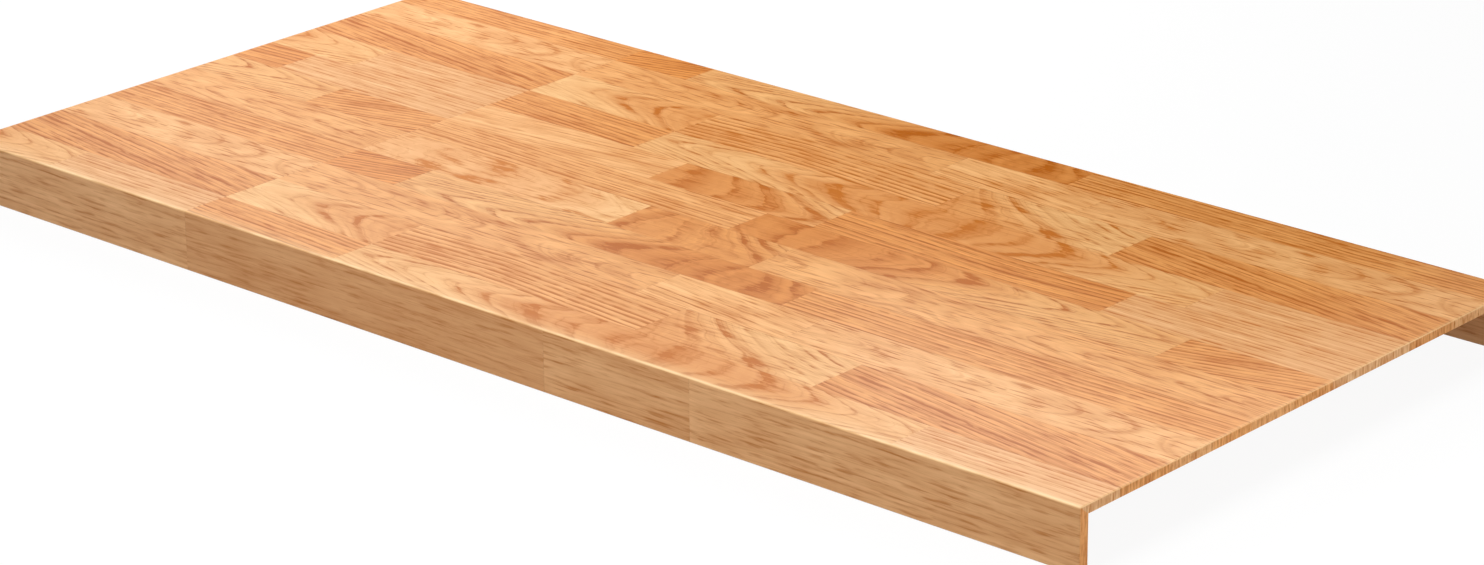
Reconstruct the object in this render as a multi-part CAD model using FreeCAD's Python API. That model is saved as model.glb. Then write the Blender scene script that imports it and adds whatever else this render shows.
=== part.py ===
"""Oak stair tread for covering old stairs: an edge-glued stave board with a mitred nosing on both long edges.

Frame: X runs along the tread, Y from the front nosing to the rear one, Z up.
The origin is at the centre of the footprint, on the plane of the nosings' feet. Millimetres.
"""

import FreeCAD
import Part
import os

Vector = FreeCAD.Vector

# Overall sizes
TREAD_LENGTH = 1300.0
TREAD_DEPTH = 600.0
NOSING_HEIGHT = 56.0
BOARD_THICKNESS = 8.0
NOSING_THICKNESS = 10.0

# Sanded rounding of the outer edges, and the finer easing of the nosings' feet
ARRIS_RADIUS = 1.5
FOOT_RADIUS = 0.8

# Glued rows of the board, from the rear edge forwards: width, then stave lengths from the right end.
# The rows repeat until the depth is filled, and the staves of a row until the length is filled.
ROW_PATTERN = (
    (50.0, (446.0, 462.0, 92.0)),
    (56.0, (396.0, 163.0, 441.0)),
    (63.0, (309.0, 192.0, 312.0, 187.0)),
    (56.0, (186.0, 627.0, 187.0)),
    (53.0, (235.0, 314.0, 196.0, 255.0)),
    (52.0, (140.0, 462.0, 398.0)),
    (59.0, (526.0, 167.0, 307.0)),
)
# The board is ripped from a wider panel, which takes this much off the rearmost row
REAR_RIP = 7.0
# Stave lengths of both nosings, from the right end
NOSING_STAVES = (396.0, 163.0, 441.0)
# A rest smaller than these isn't laid as a piece of its own: the piece before it is left that much larger
NARROWEST_ROW = 25.0
SHORTEST_STAVE = 50.0

# Coordinates nearer than this are the same place
SAME_PLACE = 0.001

# Places that follow from the sizes
LEFT_X = -TREAD_LENGTH / 2
RIGHT_X = TREAD_LENGTH / 2
FRONT_Y = -TREAD_DEPTH / 2
REAR_Y = TREAD_DEPTH / 2
INNER_FRONT_Y = FRONT_Y + NOSING_THICKNESS
INNER_REAR_Y = REAR_Y - NOSING_THICKNESS
TOP_Z = NOSING_HEIGHT
UNDERSIDE_Z = TOP_Z - BOARD_THICKNESS


def spans_filling(total, sizes, smallest_rest, first_cut=0.0):
    """(start, end) of pieces laid one after the other, in repeating sizes, until total is filled."""
    spans = []
    start = 0.0
    while start < total:
        size = sizes[len(spans) % len(sizes)]
        if not spans:
            size -= first_cut
        end = start + size
        if total - end < smallest_rest:
            end = total
        spans.append((start, end))
        start = end
    return spans


def prism(section, left, right):
    """Solid with a (y, z) section, running along X from left to right."""
    corners = [Vector(left, y, z) for y, z in section]
    face = Part.Face(Part.makePolygon(corners + corners[:1]))
    return face.extrude(Vector(right - left, 0, 0))


def same(first, second):
    """True where two coordinates are the same place."""
    return abs(first - second) < SAME_PLACE


def edges_where(shape, test):
    """Edges of which both ends pass the test."""
    return [edge for edge in shape.Edges if all(test(vertex.Point) for vertex in edge.Vertexes)]


def is_upright(edge):
    """True for a straight edge along Z."""
    first, last = [vertex.Point for vertex in edge.Vertexes]
    return same(first.x, last.x) and same(first.y, last.y)


def tread_blank():
    """The whole tread in one piece, board and nosings, with its edges rounded."""
    outline = [(FRONT_Y, 0), (REAR_Y, 0), (REAR_Y, TOP_Z), (FRONT_Y, TOP_Z)]
    block = prism(outline, LEFT_X, RIGHT_X)
    top_edges = edges_where(block, lambda point: same(point.z, TOP_Z))
    corner_edges = [edge for edge in block.Edges if is_upright(edge)]
    block = block.makeFillet(ARRIS_RADIUS, top_edges + corner_edges)

    channel = prism(
        [(INNER_FRONT_Y, 0), (INNER_REAR_Y, 0), (INNER_REAR_Y, UNDERSIDE_Z), (INNER_FRONT_Y, UNDERSIDE_Z)],
        LEFT_X,
        RIGHT_X,
    )
    blank = block.cut(channel)
    return blank.makeFillet(FOOT_RADIUS, edges_where(blank, lambda point: same(point.z, 0)))


def board_section(rear, front):
    """Section of a board row between two depths, mitred where it meets a nosing."""
    low_rear = INNER_REAR_Y if same(rear, REAR_Y) else rear
    low_front = INNER_FRONT_Y if same(front, FRONT_Y) else front
    return [(low_front, UNDERSIDE_Z), (low_rear, UNDERSIDE_Z), (rear, TOP_Z), (front, TOP_Z)]


def nosing_section(outer, inner):
    """Section of a nosing between its outer and inner face, mitred where it meets the board."""
    return [(outer, 0), (inner, 0), (inner, UNDERSIDE_Z), (outer, TOP_Z)]


def sawn_staves(row_name, blank, section, lengths):
    """The staves of one row of the blank by their node names, numbered from the right end."""
    staves = {}
    for number, (start, end) in enumerate(spans_filling(TREAD_LENGTH, lengths, SHORTEST_STAVE), 1):
        stave_room = prism(section, RIGHT_X - end, RIGHT_X - start)
        staves[f"{row_name}_stave_{number}"] = blank.common(stave_room).Solids[0]
    return staves


def tread_staves():
    """Every stave of the tread by its node name."""
    blank = tread_blank()
    staves = {}
    widths = [width for width, lengths in ROW_PATTERN]
    rows = spans_filling(TREAD_DEPTH, widths, NARROWEST_ROW, REAR_RIP)
    for number, (start, end) in enumerate(rows, 1):
        lengths = ROW_PATTERN[(number - 1) % len(ROW_PATTERN)][1]
        section = board_section(REAR_Y - start, REAR_Y - end)
        staves.update(sawn_staves(f"board_row{number:02d}", blank, section, lengths))
    staves.update(sawn_staves("front_nosing", blank, nosing_section(FRONT_Y, INNER_FRONT_Y), NOSING_STAVES))
    staves.update(sawn_staves("rear_nosing", blank, nosing_section(REAR_Y, INNER_REAR_Y), NOSING_STAVES))
    return staves


def main():
    os.makedirs("parts", exist_ok=True)
    for name, solid in tread_staves().items():
        solid.exportStep(f"parts/{name}.step")


main()
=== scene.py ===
import math
from collections import namedtuple

import bpy
from mathutils import Matrix, Vector


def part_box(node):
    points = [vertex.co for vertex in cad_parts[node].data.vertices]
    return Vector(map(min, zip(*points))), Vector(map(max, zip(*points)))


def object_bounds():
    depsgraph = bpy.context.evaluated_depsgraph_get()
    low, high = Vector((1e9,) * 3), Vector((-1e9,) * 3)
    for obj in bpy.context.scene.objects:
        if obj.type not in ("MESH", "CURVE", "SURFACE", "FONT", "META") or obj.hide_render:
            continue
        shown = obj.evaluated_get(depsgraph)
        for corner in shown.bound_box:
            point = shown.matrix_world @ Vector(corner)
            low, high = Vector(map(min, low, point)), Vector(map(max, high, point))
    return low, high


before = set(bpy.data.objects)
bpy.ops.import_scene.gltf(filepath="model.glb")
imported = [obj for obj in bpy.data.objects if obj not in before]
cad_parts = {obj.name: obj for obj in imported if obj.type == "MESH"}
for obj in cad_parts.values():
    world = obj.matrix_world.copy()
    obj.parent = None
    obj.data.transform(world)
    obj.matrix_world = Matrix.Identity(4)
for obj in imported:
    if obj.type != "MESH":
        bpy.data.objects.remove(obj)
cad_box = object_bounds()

MM = 0.001

# The photograph's frame, in pixels, and the camera that fits the tread's edges in it
PHOTO_WIDTH = 1484
CAMERA_PLACE = (2.5347, -2.7769, 1.4301)
CAMERA_AZIMUTH = 41.90
CAMERA_ELEVATION = 21.00
CAMERA_ROLL = -0.58
FOCAL_PIXELS = 4531.5
SENSOR_WIDTH = 36.0

# Oak in sRGB, brownest and palest: the wood between the growth lines, and the lines themselves
BROWN_WOOD = (0.952, 0.650, 0.340)
BROWN_LINE = (0.695, 0.358, 0.020)
PALE_WOOD = (1.000, 0.800, 0.564)
PALE_LINE = (0.790, 0.455, 0.060)
NOSING_BROWN = (0.890, 0.665, 0.450)
NOSING_PALE = (0.940, 0.730, 0.514)
NOSING_LINE = (0.735, 0.455, 0.195)
# Wood near the eye of a figure and far from it, in greyer staves, and the highlight painted on the eased
# arrises
HEART_WOOD = (0.855, 0.523, 0.212)
OUTER_WOOD = (1.000, 0.832, 0.582)
GREY_WOOD = (0.930, 0.770, 0.590)
RIM_HIGHLIGHT = (0.990, 0.835, 0.625)
# What the wood's colour is multiplied by on end grain and in a glue line
BOARD_END = (0.990, 0.995, 1.020)
NOSING_END = (1.020, 0.925, 0.785)
GLUE_LINE = (0.62, 0.5, 0.42)
WHITE = (1, 1, 1, 1)

# How the log's growth rings lie in a stave, in millimetres and degrees.
# tone: from 0, brown, to 1, pale. grey: how much greyer than that.
# eye: from the stave's right end to the middle of the figure.
# side, depth: from the middle of the row's top to the pith, towards the rear and downwards.
# slope: of the grain, rising to the rear towards the right.
# taper: how fast the rings close in along the grain.
# flat, fan: how much a ring bends across the stave at the eye, and how much more with each
# millimetre from it.
# ring: width of a growth ring. wave, curl: how far the lines wander over a long and a short way.
# line, dash: darkness of the growth lines and of the short strokes.
# gap: what stays of a line where it fades. soft: darkness of the broad shade between the lines.
# heart, pale: how much darker the wood is near the eye, and how much paler far from it.
# mottle, streak: depth of the soft patches and of the long streaks.
FIGURE = ("taper", "flat", "fan", "ring", "wave", "curl", "line", "soft", "dash", "gap", "heart",
          "pale", "mottle", "streak")
Look = namedtuple("Look", ("tone", "grey", "eye", "side", "depth", "slope") + FIGURE)


def straight(tone, slope=0.0, eye=0.0, sag=0.0, ring=6.0, line=1.2, dash=0.3, gap=0.5, mottle=0.5,
             grey=0.0):
    """Grain from far beside the pith: near parallel lines, bowed by sag at the eye."""
    return Look(
        tone=tone, grey=grey, eye=eye, side=-150.0 if sag >= 0 else 150.0, depth=30.0, slope=slope,
        taper=abs(sag), flat=1.0, fan=0.0, ring=ring, wave=3.0, curl=0.9, line=line, soft=0.42,
        dash=dash, gap=gap, heart=0.0, pale=0.0, mottle=mottle, streak=0.7,
    )


def arched(tone, eye, side=0.0, taper=0.25, ring=12.5, line=1.4, soft=0.38, wave=5.0, curl=7.0,
           dash=0.25, gap=0.15, heart=0.6, pale=0.6):
    """Grain sawn through near the pith: nested arches that close round the eye."""
    return Look(
        tone=tone, grey=0.0, eye=eye, side=side, depth=60.0, slope=0.0, taper=taper, flat=0.3,
        fan=1 / 110, ring=ring, wave=wave, curl=curl, line=line, soft=soft, dash=dash, gap=gap,
        heart=heart, pale=pale, mottle=0.5, streak=0.45,
    )


def saddle(tone, eye, side=0.0, dash=0.6, grey=0.0):
    """Soft grain that pinches in the middle of the stave, broken into short strokes."""
    return Look(
        tone=tone, grey=grey, eye=eye, side=side, depth=60.0, slope=0.0, taper=-0.12, flat=0.8,
        fan=1 / 200, ring=6.0, wave=4.5, curl=1.5, line=0.25, soft=0.42, dash=dash, gap=0.0,
        heart=0.0, pale=0.0, mottle=0.9, streak=0.7,
    )


def level(tone, eye):
    """A nosing's grain: level lines on its upright face."""
    return Look(
        tone=tone, grey=0.0, eye=eye, side=0.0, depth=160.0, slope=0.0, taper=0.02, flat=1.0,
        fan=0.0, ring=6.0, wave=5.0, curl=1.5, line=0.3, soft=0.42, dash=0.45, gap=0.1,
        heart=0.0, pale=0.0, mottle=0.8, streak=0.65,
    )


# The seven rows that repeat from the rear edge forwards, each from the right end
ROW_LOOKS = (
    (
        straight(0.33, line=1.1, eye=150, sag=-0.02),
        arched(0.24, eye=71, side=-15, line=1.45, pale=0.5),
        straight(0.0, slope=14),
    ),
    (
        saddle(0.6, eye=45, side=4, dash=0.75, grey=0.15),
        straight(0.72, slope=-5, line=0.5, dash=0.6, gap=0.0, mottle=1.2),
        saddle(0.27, eye=175, side=2, grey=0.2),
    ),
    (
        straight(0.15, slope=-8, ring=6.5, line=1.0, dash=0.4, gap=0.2, grey=0.1),
        arched(0.6, eye=235, side=-32, taper=0.3, ring=22.0, line=2.1, soft=0.25, dash=0.4,
               gap=0.0, heart=0.3),
        straight(0.62, ring=7.5, line=1.15, eye=190, sag=0.07, gap=0.6),
        arched(0.63, eye=-70, side=8, taper=0.26, line=0.85, heart=0.3, pale=0.65),
    ),
    (
        straight(0.77, line=0.9, dash=0.2, gap=0.4, grey=0.4),
        arched(0.7, eye=282, side=8, heart=0.5, pale=0.5),
        straight(0.27, slope=-3),
    ),
    (
        straight(0.77, line=0.9, dash=0.2, gap=0.4, grey=0.4),
        straight(0.12, ring=7.5, line=0.95, eye=114, sag=-0.06),
        arched(0.48, eye=190, side=-10, heart=0.5, pale=0.8),
        straight(0.82, slope=6, line=0.7, gap=0.2, mottle=0.9),
    ),
    (
        straight(0.4, slope=15, line=1.45),
        arched(0.34, eye=394, side=12, heart=0.6, pale=0.45),
        straight(0.67, slope=-1, line=1.0),
    ),
    (
        saddle(0.4, eye=349, grey=0.15),
        arched(0.31, eye=127, side=-21, line=1.1, heart=0.3),
        arched(1.0, eye=200, side=2, ring=24.0, line=1.0, soft=0.18, wave=12.0, curl=11.0,
               dash=0.5, gap=0.0, heart=0.25, pale=0.8),
    ),
)
# The staves that repeat along both nosings, from the right end
NOSING_LOOKS = (
    level(1.0, eye=200),
    level(0.9, eye=60),
    level(0.0, eye=150),
)

# From an eye to the first arc round it
FIRST_ARC = 25.0
# How far two looks lie apart in the noise, for their places and for their tones
SEED_BY_PLACE = 100.0
SEED_BY_TONE = 37.0

# Cells of the noise in millimetres, along the grain first
WAVE_CELLS = (150, 38, 38)
CURL_CELLS = (40, 14, 14)
FADE_CELLS = (60, 16, 16)
RAGGED_CELLS = (16, 3.5, 3.5)
DASH_CELLS = (32, 2.8, 2.8)
MOTTLE_CELLS = (70, 24, 24)
FIBRE_CELLS = (34, 1.5, 1.5)
PORE_CELLS = (13, 1.2, 1.2)
# The same, along the grain, from ring to ring, and from one look's seed to another's
STREAK_CELLS = (70, 3.6, 1)
BAND_CELLS = (300, 9.0, 1)
HAIR_CELLS = (110, 1.6, 1)
# The same, along the tread, across it and upwards
TICK_CELLS = (40, 2.2, 14)
GLUE_CELLS = (60, 60, 60)
# Then the patches in which the highlight painted on the arrises is stronger or weaker
HIGHLIGHT_CELLS = (45, 45, 45)
# How finely the noise is broken up for pores, for most things and for streaks, and its middle value
PORE_DETAIL = 1.0
USUAL_DETAIL = 2.0
STREAK_DETAIL = 3.0
NOISE_MIDDLE = 0.5

# Where in its noise each of these starts to show, and where it is full
FADE_RANGE = (0.42, 0.64)
RAGGED_RANGE = (0.36, 0.58)
DASH_RANGE = (0.5, 0.72)
HAIR_RANGE = (0.54, 0.7)
PORE_RANGE = (0.58, 0.75)
GLUE_RANGE = (0.45, 0.65)
# Patches of the highlight painted on the arrises
HIGHLIGHT_RANGE = (0.35, 0.65)

# Greys through one growth ring, from its dark line outwards: the line, and the shade beside it
LINE_RAMP = ((0.0, 1.0), (0.12, 0.9), (0.26, 0.25), (0.4, 0.03), (0.88, 0.0), (1.0, 1.0))
SHADE_RAMP = ((0.0, 0.8), (0.3, 0.7), (0.6, 0.25), (0.9, 0.0), (1.0, 0.8))
# How uneven the rings are in width, and how fast that changes from ring to ring
RING_UNEVEN = 0.8
RING_CHANGE = 0.6
# The least strength of a ring, and what chance adds to it
RING_LEAST = 0.4
RING_EXTRA = 0.6
# Strength of a ragged line where it is broken and where it is whole
RAGGED_LEVELS = (0.15, 1.1)

# Where the dark wood round the eye fades and the pale wood far from it begins, in millimetres
HEART_REACH = (20.0, 65.0)
OUTER_REACH = (35.0, 75.0)
# How much the way across the stave counts in that, and how far the figure is rounded off at the eye
ACROSS_SHARE = 0.5
EYE_ROUNDING = 10.0
# What ring lines lose near the eye and far from it
HEART_LOSS = 0.3
OUTER_LOSS = 0.95

# Darkness of the plain wood, and of what lies on it
PLAIN_DARK = 0.225
LINE_DARK = 1.1
FIBRE_DARK = 0.3
PORE_DARK = 0.25
# Shares of the streaks' depth
BAND_SHARE = 0.65
HAIR_SHARE = 0.4
# Pores between the rings, and more of them on the ring lines
PORES_BETWEEN = 0.4
PORES_ON_LINES = 0.6

# End grain: how far a face has to turn to the end for it to start and be full, the strength of its
# upright ticks, its own darkness, and how much of the figure the two replace
END_FACING = (0.7, 0.95)
END_TICKS = 2.8
END_DARK = 0.33
END_SHARE = 0.75

# A glue line's reach from the joint in millimetres, and its greatest strength
GLUE_REACH = (0.1, 0.7)
GLUE_STRENGTH = 0.15
# The highlight painted on the arrises, in millimetres: reach and strength of its bright edge and of the
# fainter band inside it, how unevenly bright it is, how many times narrower it is at the ends, and how
# far below the top it starts and is full
RIM_REACH = (0.5, 5.0)
RIM_STRENGTH = 0.7
RIM_BAND_REACH = (0.0, 22.0)
RIM_BAND_STRENGTH = 0.25
RIM_UNEVENNESS = (0.4, 1.3)
RIM_END_NARROWING = 5.0
RIM_BELOW_TOP = (1.4, 0.2)

# Gloss, and what dark lines and end grain add to the roughness
SPECULAR = 0.25
PLAIN_ROUGHNESS = 0.31
DARK_ROUGHNESS = 0.06
END_ROUGHNESS = 0.2
# Bump, and how deep the rings lie in it beside the pores
BUMP_STRENGTH = 0.2
BUMP_DISTANCE = 0.2 * MM
RING_HEIGHT = 0.4

# A stave that comes this near to the tread's box has its outer side there
AT_EDGE = 2 * MM
# No glue line shows on an outer side, so it is set this far beyond it
BEYOND_EDGE = 50 * MM

# The floor: its size, how far it lies under the nosings' feet, its colour to the light that it sends
# back to the wood, and how much of its own white the camera sees, the rest being light that falls on it
FLOOR_SIZE = 60.0
FLOOR_BELOW = 0.5 * MM
FLOOR_BOUNCE = (0.5, 0.5, 0.5, 1)
FLOOR_WHITE = 0.92
SKY_STRENGTH = 0.1

# Sockets of a Mix node that mixes colours
MIX_SHARE = 0
MIX_FIRST = 6
MIX_SECOND = 7
MIX_RESULT = 2


def linear(channel):
    """One sRGB channel as linear light."""
    if channel <= 0.04045:
        return channel / 12.92
    return ((channel + 0.055) / 1.055) ** 2.4


def blend(first, second, share):
    """A colour between two."""
    return tuple(a + (b - a) * share for a, b in zip(first, second))


def colour(srgb):
    """An sRGB colour as a shader takes it."""
    return tuple(linear(channel) for channel in srgb) + (1.0,)


class Graph:
    """Short ways to add nodes to a node tree. A value is a socket, a number or a tuple."""

    def __init__(self, tree):
        self.tree = tree

    def node(self, kind, values=(), **settings):
        """A node with its settings, and its inputs filled in order."""
        made = self.tree.nodes.new(kind)
        for name, setting in settings.items():
            setattr(made, name, setting)
        for place, value in enumerate(values):
            self.feed(made.inputs[place], value)
        return made

    def feed(self, socket, value):
        """Links or sets one input, or leaves it for None."""
        if isinstance(value, bpy.types.NodeSocket):
            self.tree.links.new(value, socket)
        elif value is not None:
            socket.default_value = value

    def math(self, operation, *values):
        """A sum on numbers."""
        return self.node("ShaderNodeMath", values, operation=operation).outputs[0]

    def vector(self, operation, *values):
        """A sum on points."""
        return self.node("ShaderNodeVectorMath", values, operation=operation).outputs["Vector"]

    def smooth(self, value, start, end, low=0.0, high=1.0):
        """value eased from low at start to high at end."""
        return self.node(
            "ShaderNodeMapRange", (value, start, end, low, high), interpolation_type="SMOOTHSTEP"
        ).outputs[0]

    def noise(self, place, cells, detail=USUAL_DETAIL):
        """Noise from 0 to 1 with cells of the given sizes."""
        scaled = self.vector("MULTIPLY", place, tuple(1.0 / size for size in cells))
        made = self.node("ShaderNodeTexNoise", noise_dimensions="3D")
        self.feed(made.inputs["Vector"], scaled)
        self.feed(made.inputs["Scale"], 1.0)
        self.feed(made.inputs["Detail"], detail)
        return made.outputs["Fac"]

    def swing(self, *noise):
        """Noise that swings about 0."""
        return self.math("SUBTRACT", self.noise(*noise), NOISE_MIDDLE)

    def point(self, x, y, z):
        """A point from its coordinates."""
        return self.node("ShaderNodeCombineXYZ", (x, y, z)).outputs[0]

    def parts(self, point):
        """A point's coordinates."""
        return self.node("ShaderNodeSeparateXYZ", (point,)).outputs

    def ramp(self, value, stops):
        """value through smooth greys at the given positions."""
        made = self.node("ShaderNodeValToRGB", (value,))
        ramp = made.color_ramp
        ramp.interpolation = "B_SPLINE"
        while len(ramp.elements) < len(stops):
            ramp.elements.new(0.5)
        for element, (position, grey) in zip(ramp.elements, stops):
            element.position = position
            element.color = (grey, grey, grey, 1.0)
        return made.outputs["Color"]

    def mix(self, share, first, second, mode="MIX"):
        """Colours mixed by share."""
        made = self.node("ShaderNodeMix", data_type="RGBA", blend_type=mode)
        self.feed(made.inputs[MIX_SHARE], share)
        self.feed(made.inputs[MIX_FIRST], first)
        self.feed(made.inputs[MIX_SECOND], second)
        return made.outputs[MIX_RESULT]


def oak_group():
    """Node group that saws a stave's figure out of the log and finishes its surface."""
    tree = bpy.data.node_groups.new("oak", "ShaderNodeTree")
    add_sockets(tree)
    graph = Graph(tree)
    given = graph.node("NodeGroupInput").outputs
    out = graph.node("NodeGroupOutput").inputs
    coordinates = graph.node("ShaderNodeTexCoord").outputs

    place = graph.vector("SCALE", coordinates["Object"], None, None, 1 / MM)
    turned = graph.node("ShaderNodeVectorRotate", rotation_type="Z_AXIS")
    graph.feed(turned.inputs["Vector"], graph.vector("SUBTRACT", place, given["Pith"]))
    graph.feed(turned.inputs["Angle"], given["Slope"])
    grain = turned.outputs[0]
    along, across, down = graph.parts(grain)
    seeded = graph.vector("ADD", grain, graph.point(given["Seed"], 0, given["Seed"]))

    # Distance from the pith, which wanders and tapers along the grain
    run = graph.math("SQRT", graph.math("MULTIPLY_ADD", along, along, EYE_ROUNDING ** 2))
    bend = graph.math("MULTIPLY_ADD", run, given["Fan"], given["Flat"])
    spread = graph.math("MULTIPLY", across, bend)
    down_square = graph.math("MULTIPLY", down, down)
    radius = graph.math("SQRT", graph.math("MULTIPLY_ADD", spread, spread, down_square))
    radius = graph.math("MULTIPLY_ADD", run, given["Taper"], radius)
    for cells, reach in ((WAVE_CELLS, given["Wave"]), (CURL_CELLS, given["Curl"])):
        radius = graph.math("MULTIPLY_ADD", graph.swing(seeded, cells), reach, radius)

    # Darker wood near the eye and paler wood far from it
    far = graph.math("MULTIPLY", run, graph.math("ABSOLUTE", given["Taper"]))
    far = graph.math("MULTIPLY_ADD", graph.math("ABSOLUTE", across), ACROSS_SHARE, far)
    heart = graph.math("MULTIPLY", graph.smooth(far, *HEART_REACH, 1.0, 0.0), given["Heart"])
    outer = graph.math("MULTIPLY", graph.smooth(far, *OUTER_REACH), given["Pale"])

    ring = ring_lines(graph, given, radius, seeded, heart, outer)
    pores = graph.smooth(graph.noise(seeded, PORE_CELLS, PORE_DETAIL), *PORE_RANGE)
    on_lines = graph.math("MULTIPLY_ADD", ring, PORES_ON_LINES, PORES_BETWEEN)
    pores = graph.math("MULTIPLY", pores, on_lines)
    unrolled = graph.point(along, radius, given["Seed"])
    dark = darkness(graph, given, ring, pores, seeded, unrolled)

    # End grain hides most of the figure behind upright ticks
    facing = graph.parts(coordinates["Normal"])[0]
    end = graph.smooth(graph.math("ABSOLUTE", facing), *END_FACING)
    ticks = graph.math("MULTIPLY_ADD", graph.swing(place, TICK_CELLS), END_TICKS, END_DARK)
    ticks = graph.math("SUBTRACT", ticks, dark)
    dark = graph.math("MULTIPLY_ADD", graph.math("MULTIPLY", end, END_SHARE), ticks, dark)
    dark = graph.node("ShaderNodeClamp", (dark, 0.0, 1.0)).outputs[0]

    wood = graph.mix(heart, given["Light"], colour(HEART_WOOD))
    wood = graph.mix(outer, wood, colour(OUTER_WOOD))
    wood = graph.mix(dark, wood, given["Dark"])
    glue = glue_lines(graph, given, place)
    wood = graph.mix(glue, wood, graph.mix(1.0, wood, colour(GLUE_LINE), "MULTIPLY"))
    # A highlight painted on the front and end arrises of the top
    wood = graph.mix(painted_arris_highlight(graph, place), wood, colour(RIM_HIGHLIGHT))
    wood = graph.mix(end, wood, graph.mix(1.0, wood, given["End"], "MULTIPLY"))
    graph.feed(out["Color"], wood)

    rough = graph.math("MULTIPLY_ADD", dark, DARK_ROUGHNESS, PLAIN_ROUGHNESS)
    graph.feed(out["Roughness"], graph.math("MULTIPLY_ADD", end, END_ROUGHNESS, rough))
    sunk = graph.math("MULTIPLY_ADD", ring, RING_HEIGHT, pores)
    graph.feed(out["Height"], graph.math("MULTIPLY", sunk, -1.0))
    return tree


def add_sockets(tree):
    """Declares what the oak group takes and gives."""
    sockets = [("INPUT", name.title(), "Float") for name in FIGURE]
    sockets += [("INPUT", name, "Float") for name in ("Slope", "Seed", "Eye Radius")]
    sockets += [("INPUT", name, "Color") for name in ("Light", "Dark", "End")]
    sockets += [("INPUT", name, "Vector") for name in ("Pith", "Glue Low", "Glue High")]
    sockets += [("OUTPUT", "Color", "Color")]
    sockets += [("OUTPUT", name, "Float") for name in ("Roughness", "Height")]
    for way, name, kind in sockets:
        tree.interface.new_socket(name, in_out=way, socket_type="NodeSocket" + kind)


def ring_lines(graph, given, radius, seeded, heart, outer):
    """Growth rings of uneven width and strength, which fade in and out."""
    count = graph.math("SUBTRACT", radius, given["Eye Radius"])
    count = graph.math("DIVIDE", count, given["Ring"])
    uneven = graph.node("ShaderNodeTexNoise", noise_dimensions="1D")
    graph.feed(uneven.inputs["W"], graph.math("MULTIPLY_ADD", count, RING_CHANGE, given["Seed"]))
    graph.feed(uneven.inputs["Scale"], 1.0)
    shift = graph.math("SUBTRACT", uneven.outputs["Fac"], NOISE_MIDDLE)
    count = graph.math("MULTIPLY_ADD", shift, RING_UNEVEN, count)
    year = graph.node("ShaderNodeTexWhiteNoise", noise_dimensions="1D")
    graph.feed(year.inputs["W"], graph.math("FLOOR", count))
    strength = graph.math("MULTIPLY_ADD", year.outputs["Value"], RING_EXTRA, RING_LEAST)
    within = graph.math("FRACT", count)

    fade = graph.smooth(graph.noise(seeded, FADE_CELLS), *FADE_RANGE, given["Gap"], 1.0)
    ragged = graph.smooth(graph.noise(seeded, RAGGED_CELLS), *RAGGED_RANGE, *RAGGED_LEVELS)
    line = graph.math("MULTIPLY", graph.ramp(within, LINE_RAMP), strength)
    line = graph.math("MULTIPLY", line, fade)
    line = graph.math("MULTIPLY", line, ragged)
    line = graph.math("MULTIPLY", line, graph.math("MULTIPLY_ADD", heart, -HEART_LOSS, 1.0))
    line = graph.math("MULTIPLY", line, LINE_DARK)
    soft = graph.math("MULTIPLY", graph.ramp(within, SHADE_RAMP), strength)
    ring = graph.math("MULTIPLY_ADD", soft, given["Soft"], line)
    return graph.math("MULTIPLY", ring, graph.math("MULTIPLY_ADD", outer, -OUTER_LOSS, 1.0))


def darkness(graph, given, ring, pores, seeded, unrolled):
    """How far the wood turns to the colour of its lines: rings, strokes, streaks, fibres and pores."""
    dash = graph.smooth(graph.noise(seeded, DASH_CELLS), *DASH_RANGE)
    hair = graph.smooth(graph.noise(unrolled, HAIR_CELLS), *HAIR_RANGE)
    band_depth = graph.math("MULTIPLY", given["Streak"], BAND_SHARE)
    hair_depth = graph.math("MULTIPLY", given["Streak"], HAIR_SHARE)
    dark = graph.math("MULTIPLY_ADD", ring, given["Line"], PLAIN_DARK)
    for what, depth in (
        (dash, given["Dash"]),
        (graph.swing(unrolled, STREAK_CELLS, STREAK_DETAIL), given["Streak"]),
        (graph.swing(unrolled, BAND_CELLS, STREAK_DETAIL), band_depth),
        (graph.swing(seeded, MOTTLE_CELLS), given["Mottle"]),
        (graph.swing(seeded, FIBRE_CELLS), FIBRE_DARK),
        (hair, hair_depth),
        (pores, PORE_DARK),
    ):
        dark = graph.math("MULTIPLY_ADD", what, depth, dark)
    return dark


def glue_lines(graph, given, place):
    """Strength of the glue line, which shows in some places along the joints."""
    to_low = graph.vector("SUBTRACT", place, given["Glue Low"])
    to_high = graph.vector("SUBTRACT", given["Glue High"], place)
    nearest = graph.parts(graph.vector("MINIMUM", to_low, to_high))
    seam = graph.smooth(graph.math("MINIMUM", nearest[0], nearest[1]), *GLUE_REACH, 1.0, 0.0)
    shown = graph.smooth(graph.noise(place, GLUE_CELLS), *GLUE_RANGE, 0.0, GLUE_STRENGTH)
    return graph.math("MULTIPLY", seam, shown)


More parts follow.
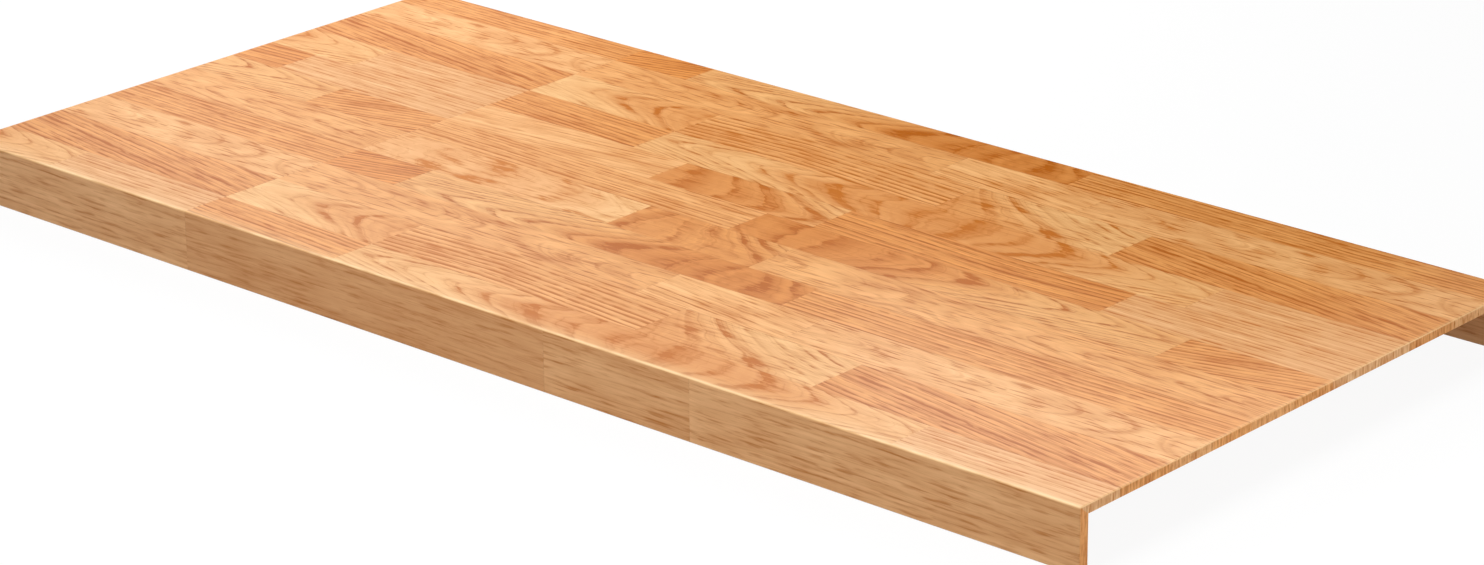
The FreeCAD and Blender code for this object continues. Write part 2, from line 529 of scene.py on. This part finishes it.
def painted_arris_highlight(graph, place):
    """Strength of the highlight painted on the arrises at the front and the ends of the top."""
    x, y, z = graph.parts(place)
    low, high = (corner / MM for corner in cad_box)
    from_front = graph.math("SUBTRACT", y, low.y)
    from_end = graph.math("SUBTRACT", high.x, graph.math("ABSOLUTE", x))
    from_end = graph.math("MULTIPLY", from_end, RIM_END_NARROWING)
    from_edge = graph.math("MINIMUM", from_front, from_end)
    # The painted highlight is stronger in some patches than in others
    highlight_unevenness = graph.smooth(graph.noise(place, HIGHLIGHT_CELLS), *HIGHLIGHT_RANGE, *RIM_UNEVENNESS)
    rim = graph.math("MULTIPLY", graph.smooth(from_edge, *RIM_REACH, RIM_STRENGTH, 0.0), highlight_unevenness)
    rim = graph.math("ADD", rim, graph.smooth(from_edge, *RIM_BAND_REACH, RIM_BAND_STRENGTH, 0.0))
    start, full = (high.z - below for below in RIM_BELOW_TOP)
    return graph.math("MULTIPLY", rim, graph.smooth(z, start, full))


def row_number(node):
    """Row of a board stave, from 1 at the rear."""
    return int(node[len("board_row"):len("board_row") + 2])


def stave_number(node):
    """Place of a stave in its row, from 1 at the right end."""
    return int(node.rsplit("_", 1)[1])


def look_of(node):
    """The figure of a stave."""
    looks = NOSING_LOOKS if "nosing" in node else ROW_LOOKS[(row_number(node) - 1) % len(ROW_LOOKS)]
    return looks[(stave_number(node) - 1) % len(looks)]


def width(node):
    """Width of a stave's box, from front to rear."""
    low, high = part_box(node)
    return high.y - low.y


def full_width(node):
    """Width of a board row before its outer edge was ripped."""
    if "nosing" in node:
        return width(node)
    same = [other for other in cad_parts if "board" in other
            and (row_number(other) - row_number(node)) % len(ROW_LOOKS) == 0]
    return max(width(other) for other in same)


def stave_colours(node, look):
    """The colours of a stave's wood, its lines and its end grain."""
    if "nosing" in node:
        return blend(NOSING_BROWN, NOSING_PALE, look.tone), NOSING_LINE, NOSING_END
    wood = blend(BROWN_WOOD, PALE_WOOD, look.tone)
    return blend(wood, GREY_WOOD, look.grey), blend(BROWN_LINE, PALE_LINE, look.tone), BOARD_END


def glue_box(low, high):
    """A stave's box, moved out where its side isn't glued."""
    glue_low, glue_high = low.copy(), high.copy()
    tread_low, tread_high = cad_box
    for axis in (0, 1):
        if low[axis] < tread_low[axis] + AT_EDGE:
            glue_low[axis] -= BEYOND_EDGE
        if high[axis] > tread_high[axis] - AT_EDGE:
            glue_high[axis] += BEYOND_EDGE
    return glue_low, glue_high


def stave_material(node, group):
    """Oak with the stave's own figure and tone."""
    look = look_of(node)
    low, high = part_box(node)
    at_rear = high.y > cad_box[1].y - AT_EDGE
    half_width = full_width(node) / 2
    middle_y = low.y + half_width if at_rear else high.y - half_width
    pith = Vector((high.x - look.eye * MM, middle_y + look.side * MM, high.z - look.depth * MM))
    wood, line, end = stave_colours(node, look)
    glue_low, glue_high = glue_box(low, high)

    material = bpy.data.materials.new("oak_" + node)
    material.use_nodes = True
    graph = Graph(material.node_tree)
    shader = material.node_tree.nodes["Principled BSDF"]
    shader.inputs["Specular IOR Level"].default_value = SPECULAR
    oak = graph.node("ShaderNodeGroup", node_tree=group)
    for name in FIGURE:
        oak.inputs[name.title()].default_value = getattr(look, name)
    for name, value in (
        ("Pith", pith / MM),
        ("Slope", math.radians(-look.slope)),
        ("Eye Radius", look.depth + look.taper * FIRST_ARC),
        ("Seed", SEED_BY_PLACE * look.eye / (1.0 + look.ring) + SEED_BY_TONE * look.tone),
        ("Light", colour(wood)),
        ("Dark", colour(line)),
        ("End", colour(end)),
        ("Glue Low", glue_low / MM),
        ("Glue High", glue_high / MM),
    ):
        oak.inputs[name].default_value = value
    graph.feed(shader.inputs["Base Color"], oak.outputs["Color"])
    graph.feed(shader.inputs["Roughness"], oak.outputs["Roughness"])
    bump = graph.node("ShaderNodeBump")
    bump.inputs["Strength"].default_value = BUMP_STRENGTH
    bump.inputs["Distance"].default_value = BUMP_DISTANCE
    graph.feed(bump.inputs["Height"], oak.outputs["Height"])
    graph.feed(shader.inputs["Normal"], bump.outputs[0])
    return material


def dress_staves():
    """Gives every stave its own oak."""
    group = oak_group()
    for name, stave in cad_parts.items():
        stave.data.materials.clear()
        stave.data.materials.append(stave_material(name, group))


def add_floor():
    """A pale floor that stays white to the camera and keeps a faint shadow."""
    mesh = bpy.data.meshes.new("floor")
    half = FLOOR_SIZE / 2
    corners = [(-half, -half, 0), (half, -half, 0), (half, half, 0), (-half, half, 0)]
    mesh.from_pydata(corners, [], [(0, 1, 2, 3)])
    floor = bpy.data.objects.new("floor", mesh)
    floor.location.z = -FLOOR_BELOW
    bpy.context.scene.collection.objects.link(floor)
    material = bpy.data.materials.new("floor")
    material.use_nodes = True
    tree = material.node_tree
    tree.nodes.clear()
    graph = Graph(tree)
    path = graph.node("ShaderNodeLightPath").outputs
    seen = graph.math("MAXIMUM", path["Is Camera Ray"], path["Is Glossy Ray"])
    surface = graph.mix(seen, FLOOR_BOUNCE, WHITE)
    diffuse = graph.node("ShaderNodeBsdfDiffuse", (surface,)).outputs[0]
    glow = graph.node("ShaderNodeEmission", (WHITE, 1.0)).outputs[0]
    share = graph.math("MULTIPLY", seen, FLOOR_WHITE)
    mixed = graph.node("ShaderNodeMixShader", (share, diffuse, glow)).outputs[0]
    graph.feed(graph.node("ShaderNodeOutputMaterial").inputs["Surface"], mixed)
    mesh.materials.append(material)


def add_light():
    """A key, a fill from the rear left, a lamp on the right end, and lamps that only the gloss shows."""
    world = bpy.data.worlds.new("studio")
    bpy.context.scene.world = world
    world.use_nodes = True
    sky = world.node_tree.nodes["Background"]
    sky.inputs["Color"].default_value = WHITE
    sky.inputs["Strength"].default_value = SKY_STRENGTH
    world.cycles_visibility.glossy = False
    add_lamp("key", (0.27, -1.36, 2.0), target=(0.0, -0.1, 0.05), size=(1.2, 1.2), power=46.0)
    fill = add_lamp("fill", (-0.9, 0.7, 0.9), target=(-0.2, 0.1, 0.05), size=(1.2, 0.8), power=12.8)
    fill.visible_glossy = False
    add_lamp("side", (1.3, -0.05, 0.36), target=(0.6, 0.0, 0.05), size=(0.5, 0.3), power=2.9)
    for gloss in (
        add_lamp("sheen", (-0.5, 0.36, 0.45), target=(-0.5, -0.41, 0.05), size=(2.8, 0.2), power=2.95),
        add_lamp("gleam", (0.2, 0.38, 0.45), target=(0.2, -0.39, 0.05), size=(0.8, 0.25), power=1.12),
        add_lamp("glint", (-2.5, 1.9, 0.6), target=(-0.75, 0.4, 0.05), size=(0.8, 0.6), power=2.0),
        add_lamp("edge", (0.45, 0.4, 0.22), target=(0.45, 0.4, 0.05), size=(0.12, 0.44), power=0.18),
    ):
        gloss.visible_diffuse = False


def add_lamp(name, place, target, size, power):
    """A soft box that the camera doesn't see."""
    lamp = bpy.data.lights.new(name, "AREA")
    lamp.shape = "RECTANGLE"
    lamp.size, lamp.size_y = size
    lamp.energy = power
    box = bpy.data.objects.new(name, lamp)
    box.location = place
    box.rotation_euler = (Vector(target) - Vector(place)).to_track_quat("-Z", "Y").to_euler()
    box.visible_camera = False
    bpy.context.scene.collection.objects.link(box)
    return box


def add_camera():
    """The camera at the photograph's place and angle."""
    turn = (
        Matrix.Rotation(math.radians(CAMERA_AZIMUTH), 4, "Z")
        @ Matrix.Rotation(math.pi / 2 - math.radians(CAMERA_ELEVATION), 4, "X")
        @ Matrix.Rotation(math.radians(CAMERA_ROLL), 4, "Z")
    )
    lens = bpy.data.cameras.new("camera")
    lens.sensor_width = SENSOR_WIDTH
    lens.lens = FOCAL_PIXELS * SENSOR_WIDTH / PHOTO_WIDTH
    camera = bpy.data.objects.new("camera", lens)
    camera.matrix_world = Matrix.Translation(CAMERA_PLACE) @ turn
    bpy.context.scene.collection.objects.link(camera)
    bpy.context.scene.camera = camera


dress_staves()
add_floor()
add_light()
add_camera()
bpy.context.scene.view_settings.view_transform = "Standard"
